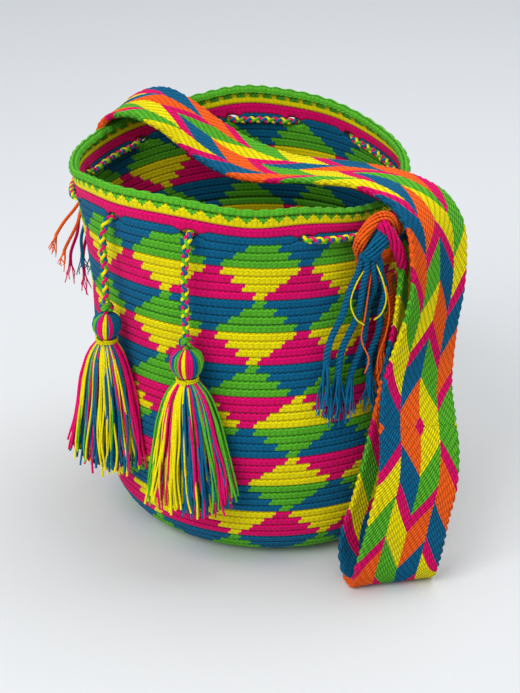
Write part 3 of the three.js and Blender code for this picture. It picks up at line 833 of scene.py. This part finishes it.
def strap_band(name):
    """The band as two woven faces on slanting lines that follow its ridges, with its edges."""
    middle, side, face = strap_lines()
    along = lengths(middle)
    total = along[-1]
    centre = np.interp(MIRROR, np.linspace(0, 1, len(along)), along)
    columns = np.linspace(0, 4, 45)
    zigzag = SLANT * (np.abs((columns % 2) - 1) - 0.5)
    # the lines of both halves meet in points along the middle of the pattern
    half = np.arange(-SLANT / 2, 620, RIDGE / 3)
    lines = np.concatenate([-half[::-1], half])
    way = np.sign(np.arange(len(lines)) - len(half) + 0.5)
    place = np.maximum(0, np.concatenate([half[::-1], half])[:, None] + zigzag)
    pattern = way[:, None] * place
    y = np.clip(along_strap(pattern), -centre, total - centre)
    s = y + centre
    x = np.broadcast_to((columns - 2) * COLUMN, y.shape)
    x_now, thick, curl = strap_section(x, s, total)
    here, sideways, outward = [np.stack([np.interp(s, along, table[:, k]) for k in range(3)], -1)
                               for table in (middle, side, face)]
    here = here + sideways * x_now[..., None] + outward * curl[..., None]
    lift = np.clip((35.6 - np.abs(x)) / 2.0, 0.25, 1)
    points = np.vstack([(here + outward * (way_out * thick)[..., None]).reshape(-1, 3)
                        for way_out in (1, -1)])
    out = np.vstack([(outward * (way_out * lift)[..., None]).reshape(-1, 3) for way_out in (1, -1)])
    ridge_x = np.broadcast_to(columns * math.hypot(COLUMN, SLANT) / OVAL, y.shape).ravel()
    ridge_y = np.broadcast_to((lines / RIDGE)[:, None], y.shape).ravel()

    # the two faces; what the clipped ends squeezed flat is left out
    index = np.arange(y.size).reshape(y.shape)
    climb = y[1:] - y[:-1] > 1e-4
    keep = climb[:, :-1] | climb[:, 1:]
    quads = np.stack([index[:-1, :-1], index[1:, :-1], index[1:, 1:], index[:-1, 1:]], -1)[keep]
    mid_y = (pattern[:-1, :-1] + pattern[1:, 1:] + pattern[1:, :-1] + pattern[:-1, 1:]) / 4
    mid_x = np.broadcast_to((columns[:-1] + columns[1:]) / 2, mid_y.shape)
    faces = [quads[:, [0, 3, 2, 1]], quads + y.size]
    shade = [strap_colour(mid_x, mid_y)[keep]] * 2
    corners = np.stack([ridge_x, ridge_y], -1)
    uv = [corners[quads[:, [0, 3, 2, 1]].ravel()], corners[quads.ravel()]]
    # the two edges, in the colour of the column that they close
    for col, order, edge_x in ((0, [0, 1, 3, 2], 0.02), (-1, [1, 0, 2, 3], 3.98)):
        a, b = index[:-1, col][climb[:, col]], index[1:, col][climb[:, col]]
        faces.append(np.stack([a, b, a + y.size, b + y.size], -1)[:, order])
        uv.append(np.stack([np.full(4 * len(a), 0.5), np.repeat(ridge_y[a], 4)], -1))
        mid = (pattern[:-1, col] + pattern[1:, col]) / 2
        shade.append(strap_colour(np.full(len(mid), edge_x), mid)[climb[:, col]])
    mesh = plain_mesh(name, points, faces=np.vstack(faces).tolist(), shade=np.concatenate(shade),
                      uv=np.vstack(uv), across=np.tile(ridge_x, 2), up=np.tile(ridge_y, 2), out=out)
    piece = grow(name, mesh, WEAVE_TREE, Depth=0.0013)
    close_up(piece.data)
    return piece, total


def close_up(mesh):
    """Merges doubles, drops loose points and closes what is still open."""
    work = bmesh.new()
    work.from_mesh(mesh)
    bmesh.ops.remove_doubles(work, verts=work.verts, dist=2e-5)
    loose = [v for v in work.verts if not v.link_faces]
    bmesh.ops.delete(work, geom=loose, context="VERTS")
    open_edges = [e for e in work.edges if e.is_boundary]
    bmesh.ops.holes_fill(work, edges=open_edges, sides=0)
    bmesh.ops.recalc_face_normals(work, faces=work.faces)
    work.to_mesh(mesh)
    work.free()


strap, strap_long = strap_band("shoulder_strap")
place_piece(strap, "strap_band")

# ---------------------------------------------------------------- drawstring
CORD = 5.2
CORD_OFFSET = 5.6               # from the wall's middle to the braid's
EXIT_TURN = 1.35                # degrees short of the two eyelets where the ends come out
BRAID_PITCH = 14.0


def thread_offset(degrees):
    """How far the braid lies off the wall's middle: it swaps sides at each eyelet."""
    side = offset = -1.0
    for eyelet in EYELETS[1:-1]:
        past = math.radians(degrees - eyelet) * MOUTH_RADIUS / 10
        side = -side
        if past > 1:
            offset = side
        elif past > -1:
            offset = side * math.sin(past * math.pi / 2)
    return offset * CORD_OFFSET


def braid(path, phase=0.0):
    """Four yarns, two winding each way, over and under one another round a path."""
    tangent, side, other = frames(path)
    turn = 2 * math.pi * lengths(path) / BRAID_PITCH + phase
    yarns = []
    for i, number in enumerate((YELLOW, MAGENTA, BLUE, GREEN)):
        way = 1 if i < 2 else -1
        r = 1.55 + 0.40 * way * np.cos(2 * turn)
        yarns.append((path + circling(side, other, r, way * turn + math.pi * (i % 2)), 1.42, number))
    return yarns


degrees = np.arange(EYELETS[0] + EXIT_TURN, EYELETS[-1] - EXIT_TURN, 0.5)
ring_path = even(np.array([on_wall(d, EYELET_Z, thread_offset(d) - WALL / 2) for d in degrees]), 1.3)
place_piece(make_yarns("drawstring_ring_braid", braid(ring_path)), "drawstring_ring")

LEFT_CORD = [(-129.5, -106, 291), (-132, -106, 279), (-132, -105, 255), (-132, -104, 227.2),
             (-132.5, -103.6, 203), (-133.5, -102.8, 181), (-134.7, -101.8, 156)]
RIGHT_CORD = [(-64, -148, 293), (-66, -150, 280), (-67, -150.5, 255), (-67, -151, 218.2),
              (-66.8, -151.6, 192), (-66.5, -152.6, 171), (-66.2, -153.8, 146)]


def hanging_end(name, exit_degrees, way, node):
    """The cord comes out of its eyelet, hangs down and runs on inside its tassel's head."""
    start = on_wall(exit_degrees, EYELET_Z, -WALL / 2 - CORD_OFFSET - CORD / 2)
    path = spline([start, on_wall(exit_degrees, EYELET_Z, 2.5), *way], 1.0)
    return place_piece(make_yarns(name, braid(path, 0.7), sides=7), node), path


left_cord, left_path = hanging_end("drawstring_left_braid", EYELETS[-1], LEFT_CORD, "drawstring_left_end")
right_cord, right_path = hanging_end("drawstring_right_braid", EYELETS[0], RIGHT_CORD, "drawstring_right_end")

# ---------------------------------------------------------------- tassels
NECK = 7.2                      # radius under the tie
NECK_SINK = 1.78                # how far down the neck is, in radii of the head
HEAD_YARNS = 38
SKIRT_YARNS = 150
TIE_TURNS = 3


def tassel_frame(top, bottom):
    """Where the tassel hangs from, its way down, its way out from the bag, its side and its length."""
    top, bottom = np.array(top, float), np.array(bottom, float)
    long = np.linalg.norm(bottom - top)
    down = (bottom - top) / long
    outward = np.array([0.3 * (top[0] + 15), top[1], 0.0])
    outward -= down * np.dot(outward, down)
    outward /= np.linalg.norm(outward)
    return top, down, outward, np.cross(outward, down), long


def pick(colours, share):
    """The colour that far along a list."""
    return colours[int(np.clip(share, 0, 0.999) * len(colours))]


def tassel_head(hang, head, cap_colours, core_colour, luck):
    """Yarns from the knot over a ball to the neck, and the filling ball under them."""
    top, down, outward, side, long = hang
    neck = NECK_SINK * head
    ball_r = [0.8, 0.55 * head, 0.9 * head, head, 0.93 * head, 0.72 * head, NECK, NECK - 1]
    ball_d = [-0.2, 0.10 * head, 0.42 * head, 0.88 * head, 1.25 * head, 1.62 * head, neck, neck + 6]
    fine = np.linspace(0, 7, 22)
    ring_r, ring_d = np.interp(fine, range(8), ball_r), np.interp(fine, range(8), ball_d)
    yarns = []
    for i in range(HEAD_YARNS):
        angle = 2 * math.pi * i / HEAD_YARNS + luck.normal(0, 0.02)
        number = pick(cap_colours, (math.sin(angle) + 1) / 2 + luck.normal(0, 0.02))
        r = ring_r - 0.6 + luck.normal(0, 0.25)
        line = top + down * ring_d[:, None] + circling(outward, side, r, angle)
        yarns.append((line, np.clip(ring_r / head * 1.25, 0.62, 1.12), number))
    core = top + down * np.linspace(0.5, neck + 4, 9)[:, None]
    yarns.append((core, np.array([1, 5.5, 8.2, 9.2, 9.2, 8.4, 7, 5.6, 5]) * head / 12.4, core_colour))
    return yarns


def tassel_skirt(hang, head, full, stripes, luck):
    """Yarns that fall from the neck in three layers, spread over the bag and end unevenly."""
    top, down, outward, side, long = hang
    start = NECK_SINK * head + 1.0
    widths = np.array([5.6, 8.6, 13.6, 17.5, 22.5, 28.5, 33, 34.5]) * full
    yarns = []
    for i in range(SKIRT_YARNS):
        layer = (i % 3) / 2.0
        place = (i + 0.5) / SKIRT_YARNS * 2 - 1 + luck.normal(0, 0.04)
        place = max(-1.04, min(1.04, place))
        end = 0.94 - 0.11 * abs(place) ** 2.2 + luck.normal(0, 0.022)
        end -= 0.07 * luck.random() * (luck.random() < 0.3)
        t = np.linspace(0, end, 26)
        width = np.interp(t, [0, 0.04, 0.09, 0.16, 0.3, 0.55, 0.8, 1.05], widths)
        depth = np.interp(t, [0, 0.05, 0.15, 0.5, 1.05], [NECK - 1.6, NECK + 0.6, 9.5, 8.0, 7.5])
        depth *= math.sqrt(max(0.0, 1 - min(1, abs(place)) ** 2))
        # one yarn in five lies at the back, the others in front or through the middle
        front = 1.0 - 1.5 * layer if i % 5 else -1.0
        wave = luck.uniform(0, 6.28)
        sway = np.sin(t * luck.uniform(5, 12) + wave) * t ** 1.3 * luck.uniform(0.6, 3.4)
        x = width * place + sway + luck.normal(0, 0.4) * t
        d = depth * front + np.cos(t * luck.uniform(5, 11) + wave) * t * 1.5
        if luck.random() < 0.3:
            x = x + t ** 5 * luck.normal(0, 6)
        sink = start + t * (long - start)
        line = top + down * sink[:, None] + side * x[:, None] + outward * d[:, None]
        line = clear_of_wall(line, 2.2 + 1.6 * (1 - layer))
        number = pick(stripes, (place + 1) / 2 + luck.normal(0, 0.045))
        if luck.random() < 0.12:
            number = (YELLOW, BLUE, MAGENTA, GREEN)[luck.integers(4)]
        yarns.append((line, luck.uniform(0.86, 1.16) * np.linspace(1, 0.9, 26), number))
    return yarns


def tassel_tie(name, hang, head):
    """Yellow yarn wound round the neck."""
    top, down, outward, side, long = hang
    turn = np.linspace(0, 2 * math.pi * TIE_TURNS, 90)
    sink = NECK_SINK * head + 1.0 + 3.4 * turn / turn[-1]
    r = NECK + 0.9 + 0.15 * np.sin(turn * 1.7)
    coil = top + down * sink[:, None] + circling(outward, side, r, turn)
    return make_yarns(name, [(coil, 1.0, YELLOW)], sides=8, plies=2, lobe=0.14, turns=200)


def knot(name, middle, size, thick, numbers, tip):
    """A pulled tight knot: thick yarns through a three-lobed loop, tipped over by an angle."""
    t = np.linspace(0, 2 * math.pi, 110)
    loop = np.stack([np.sin(t) + 2 * np.sin(2 * t), np.cos(t) - 2 * np.cos(2 * t),
                     -np.sin(3 * t) * 1.6], -1) / 3.0
    loop = loop @ np.array(Matrix.Rotation(tip, 3, "X"))
    path = loop * (np.array(size) - thick * 0.9) + np.array(middle)
    yarns = rope(path, len(numbers), thick * 0.42, thick * 0.95, 60, numbers)
    yarns.append((path, thick * 0.45, numbers[0]))
    return make_yarns(name, yarns, sides=7, plies=2, lobe=0.12, turns=150)


# each tassel: its top and bottom, radius of its head, fullness, tip of its knot, seed and cord
TASSELS = {
    "left": ((-132, -104, 214), (-139, -98, 62), 11.6, 1.0, 0.5, 5, left_cord, left_path),
    "right": ((-67, -151, 205), (-65, -158, 54), 13, 1.0955, 1.1, 9, right_cord, right_path),
}
HEAD_COLOURS = {
    "left": [BLUE, GREEN, BLUE, MAGENTA, MAGENTA, BLUE, YELLOW, BLUE, MAGENTA, BLUE],
    "right": [MAGENTA, BLUE, GREEN, MAGENTA, YELLOW, BLUE, MAGENTA, YELLOW, BLUE, GREEN],
}
SKIRT_COLOURS = {
    "left": [MAGENTA, YELLOW, BLUE, BLUE, YELLOW, BLUE, MAGENTA, MAGENTA, YELLOW, BLUE, BLUE, YELLOW,
             MAGENTA, BLUE, BLUE, YELLOW, MAGENTA, MAGENTA],
    "right": [GREEN, YELLOW, YELLOW, MAGENTA, YELLOW, YELLOW, YELLOW, BLUE, BLUE, YELLOW, BLUE, MAGENTA,
              BLUE, BLUE, GREEN, MAGENTA, BLUE, MAGENTA, GREEN],
}
for hand, (top, bottom, head, full, tip, seed, cord, path) in TASSELS.items():
    luck = np.random.default_rng(seed)
    hang = tassel_frame(top, bottom)
    stripes = SKIRT_COLOURS[hand]
    yarns = tassel_head(hang, head, HEAD_COLOURS[hand], stripes[0], luck)
    yarns += tassel_skirt(hang, head, full, stripes, luck)
    skirt = place_piece(make_yarns(hand + "_tassel", yarns), hand + "_tassel_yarns")
    tie = place_piece(tassel_tie(hand + "_tassel_neck_tie", hang, head), hand + "_tassel_tie")
    button = knot(hand + "_tassel_top_knot", (top[0], top[1], top[2] + 5.5), (6.6, 6.6, 5.8), 3.0,
                  (GREEN, GREEN, BLUE, MAGENTA), tip)
    place_piece(button, hand + "_tassel_knot")

# ---------------------------------------------------------------- strap loops and fringe
RIGHT_LOOP = [(98.5, -98, 281.5), (94.5, -103, 288.5), (89, -108, 295.5), (83, -111.5, 296.5),
              (76.5, -112.5, 291.5), (71, -113, 283), (67.5, -113, 273), on_wall(-46.5, 266, 6),
              on_wall(-45.5, 266, -6), on_wall(-44, 268, -15), on_wall(-42, 271, -19),
              on_wall(-39.5, 270.5, -17), on_wall(-37.5, 270, -10), on_wall(-37, 269.5, 5)]
LEFT_LOOP = [(-146, 106, 270), on_wall(139.5, 266, 12), on_wall(140.5, 262, 4), on_wall(142.5, 260, 1.6),
             on_wall(146.5, 259, 1.4), on_wall(150, 258.5, 1.6), on_wall(152.5, 258, 5)]
BLUE_WRAP = [(89, -111, 289), (85.5, -116, 283), (80, -120.5, 275.5), (75, -121.5, 268.5)]
STRAP_END = [(83, -114, 294), (88.5, -116.5, 288), (94.5, -115.5, 278), (99.5, -111, 266), (103, -105, 254)]
LOOSE_ENDS = [(YELLOW, [(76, -120, 264), (66, -123, 248), (61, -127, 233), (65, -129, 220), (72, -127, 213)]),
              (YELLOW, [(80, -120, 264), (86, -124, 249), (89, -124, 234), (86, -122, 221), (80, -122, 215)]),
              (ORANGE, [(84, -116, 262), (92, -118, 226), (90, -122, 204), (84, -127, 186), (83, -131, 172)]),
              (ORANGE, [(78, -118, 262), (73, -124, 222), (70, -129, 202), (76, -132, 186), (73, -134, 174)])]
FRINGE = 6.4                    # the twisted cords on the right
YARN_END = 3.4                  # the thin ones on the left
# each cord: the solid it takes the place of, its yarn, its diameter, how long its frayed end
# is and its way down
FRINGE_CORDS = [
    ("right_blue_cord_1", BLUE, FRINGE, 36, [
        (69.5, -119, 266), (66, -120, 252), (61, -123, 239), (55.5, -127, 227), (49, -133, 211),
        (43, -139, 193), (39, -144, 174), (37, -148, 157)]),
    ("right_blue_cord_2", BLUE, FRINGE, 34, [
        (73.5, -121, 265.5), (72.5, -121.5, 251), (71, -121.5, 238), (67.5, -122.5, 225),
        (61, -129, 208), (54, -135, 190), (48, -142, 166), (42, -149, 140)]),
    ("right_blue_cord_3", BLUE, FRINGE, 30, [
        (78, -120.5, 266), (79, -118.5, 251), (79, -114.5, 238), (77, -112.5, 227),
        (74, -117, 209), (69, -124, 190), (61, -135, 164), (54, -146, 130)]),
    ("right_blue_cord_4", BLUE, FRINGE, 26, [
        (82.5, -119.5, 267), (85.5, -118, 252), (88, -114, 237), (87.5, -110.5, 221),
        (83, -116, 200), (78, -122, 181), (76, -129, 156), (75, -136, 126)]),
    ("right_orange_cord_1", ORANGE, FRINGE, 30, [
        (93.5, -94, 243), (94.5, -95, 230), (95, -99, 213),
        (89, -110, 192), (85, -117, 175), (82, -123, 157)]),
    ("right_orange_cord_2", ORANGE, FRINGE, 26, [
        (100.5, -90, 241.5), (102, -90, 228), (103, -94, 211), (98, -104, 192), (91, -115, 174)]),
    ("right_orange_cord_3", ORANGE, FRINGE, 26, [
        (105.5, -84.5, 244), (109, -83, 230), (110, -87, 209), (107, -96, 188), (102, -106, 168)]),
    ("left_orange_cord_1", ORANGE, YARN_END, 14, [
        (-167.5, 67.5, 247), (-176, 59, 236), (-188, 53, 222), (-200, 49, 206)]),
    ("left_orange_cord_2", ORANGE, YARN_END, 14, [
        (-164, 64.5, 246), (-171, 57, 230), (-179, 52, 212), (-186, 50, 195)]),
    ("left_blue_cord_1", BLUE, YARN_END, 14, [
        (-161, 67, 243), (-165, 58, 226), (-168, 53, 206), (-170, 51, 187)]),
    ("left_blue_cord_2", BLUE, YARN_END, 14, [
        (-156.4, 67.5, 243.5), (-158.5, 61, 225), (-161, 57, 203), (-162, 55, 182)]),
    ("left_magenta_cord_1", MAGENTA, YARN_END, 16, [
        (-160.5, 73, 241.5), (-164, 66, 220), (-167, 60, 192), (-168, 57, 167)]),
    ("left_magenta_cord_2", MAGENTA, YARN_END, 16, [
        (-165.7, 73.5, 243.5), (-172, 66, 222), (-178, 60, 196), (-181, 57, 172)]),
]


def bundle(name, points, count, radius, thick, number, turns, loose=()):
    """A thick loose rope: yarns lying side by side round a core, and any loose ends caught in it."""
    path = spline(points, 2.2)
    yarns = rope(path, count, radius, thick, turns, (number,), wobble=0.07)
    yarns.append((path, radius * 0.9, number))
    yarns += [(clear_of_wall(spline(way, 2.0), 1.5), 0.65, loose_number) for loose_number, way in loose]
    return make_yarns(name, yarns, sides=8, plies=2, lobe=0.12, turns=120)


def twisted_cord(name, number, wide, points):
    """Three plies twisted round one another, never quite straight."""
    path = spline(points, wide / 5)
    luck = np.random.default_rng(len(name) + int(name[-1]))
    drift = np.sin(lengths(path)[:, None] / luck.uniform(6, 9) + luck.uniform(0, 6, 3))
    path = path + drift * np.minimum(1, lengths(path) / 20)[:, None] * [1.1, 0.8, 0]
    yarns = rope(path, 3, wide * 0.27, wide * 0.43, 640 / wide, (number,))
    return make_yarns(name, yarns, plies=2, lobe=0.08, turns=900 / wide), path


def fray(name, path, wide, number, long, seed):
    """The end of a cord combed out into its single yarns."""
    luck = np.random.default_rng(seed)
    tangent, side, other = frames(path)
    back = int(len(path) * 0.96)
    fall = tangent[back] * 0.55 + np.array([0, 0, -0.45])
    count = 13 if wide == FRINGE else 7
    t = np.linspace(0, 1, 14)[:, None]
    yarns = []
    for i in range(count):
        angle = 2 * math.pi * i / count + luck.uniform(-0.3, 0.3)
        away = side[back] * math.cos(angle) + other[back] * math.sin(angle)
        span = 1.45 * long * luck.uniform(0.6, 1.0)
        spread = wide * 0.24 + (2 + wide) * t ** 1.4 * luck.uniform(0.2, 1.0)
        curl = np.sin(t * luck.uniform(4, 9) + luck.uniform(0, 6)) * t * luck.uniform(0.5, 3.0)
        line = clear_of_wall(path[back] + fall * span * t + away * spread + np.cross(fall, away) * curl, 1.2)
        thick = (0.36 + 0.06 * wide) * luck.uniform(0.85, 1.15)
        yarns.append((line, thick * np.linspace(1.1, 0.75, 14), number))
    return make_yarns(name, yarns)


place_piece(bundle("right_loop_yarns", RIGHT_LOOP, 9, 3.9, 2.9, ORANGE, 9),
            "right_strap_loop")
place_piece(bundle("left_loop_yarns", LEFT_LOOP, 9, 3.9, 2.9, ORANGE, 9),
            "left_strap_loop")
place_piece(bundle("right_blue_wrap", BLUE_WRAP, 11, 5.0, 3.0, BLUE, 10, LOOSE_ENDS),
            "right_blue_bundle")
place_piece(knot("right_blue_tied_knot", (76, -119.5, 268), (10, 5.5, 5.5), 4.0, (BLUE,) * 3, 0.4),
            "right_blue_knot")
place_piece(bundle("right_strap_end", STRAP_END, 7, 3.6, 3.3, MAGENTA, 16))
place_piece(knot("right_orange_tied_knot", on_wall(-37, 266, 13.6), (8.5, 8, 7.5), 4.0, (ORANGE,) * 3, 0.9),
            "right_orange_knot")
place_piece(knot("left_tied_knot", on_wall(153.5, 256, 13.6), (8, 8, 7.5), 4.0, (ORANGE,) * 3, 1.3),
            "left_fringe_knot")
for seed, (node, number, wide, frayed, way) in enumerate(FRINGE_CORDS):
    # the last part of the way is frayed
    kept = spline(way, 1.0)
    kept = kept[:int(len(kept) * (0.76 if wide == FRINGE else 0.85))]
    cord, path = twisted_cord(node.replace("cord", "twisted_cord"), number, wide, kept[::8])
    place_piece(cord, node)
    end = place_piece(fray(node.replace("cord", "frayed_end"), path, wide, number, frayed, seed))

# ---------------------------------------------------------------- floor and light
# Matte studio paper: a pale even ground that takes a soft shadow.
paper = bpy.data.materials.new("pale_floor_paper")
paper.use_nodes = True
paper.node_tree.nodes["Principled BSDF"].inputs["Base Color"].default_value = linear("#d9dadb")
paper.node_tree.nodes["Principled BSDF"].inputs["Roughness"].default_value = 0.8
floor = bpy.data.objects.new("floor", plain_mesh("floor", [(-9000, -6000, 0), (9000, -6000, 0),
                                                           (9000, 9000, 0), (-9000, 9000, 0)],
                                                 faces=[(0, 1, 2, 3)]))
bpy.context.scene.collection.objects.link(floor)
floor.data.materials.append(paper)

world = bpy.data.worlds.new("studio")
bpy.context.scene.world = world
world.use_nodes = True
world.node_tree.nodes["Background"].inputs["Color"].default_value = linear("#dfe4ea")
world.node_tree.nodes["Background"].inputs["Strength"].default_value = 0.80


def soft_light(name, place, aim, size, power):
    """A square lamp that faces a point."""
    lamp = bpy.data.objects.new(name, bpy.data.lights.new(name, "AREA"))
    bpy.context.scene.collection.objects.link(lamp)
    lamp.data.size = size
    lamp.data.energy = power
    lamp.location = place
    lamp.rotation_euler = (Vector(aim) - Vector(place)).to_track_quat("-Z", "Y").to_euler()


soft_light("key", (-1.3, -1.6, 2.0), (0, 0, 0.15), 1.6, 43)
soft_light("top", (0.6, 0.5, 2.4), (0, 0, 0.1), 1.8, 26)
bpy.context.scene.view_settings.view_transform = "Standard"
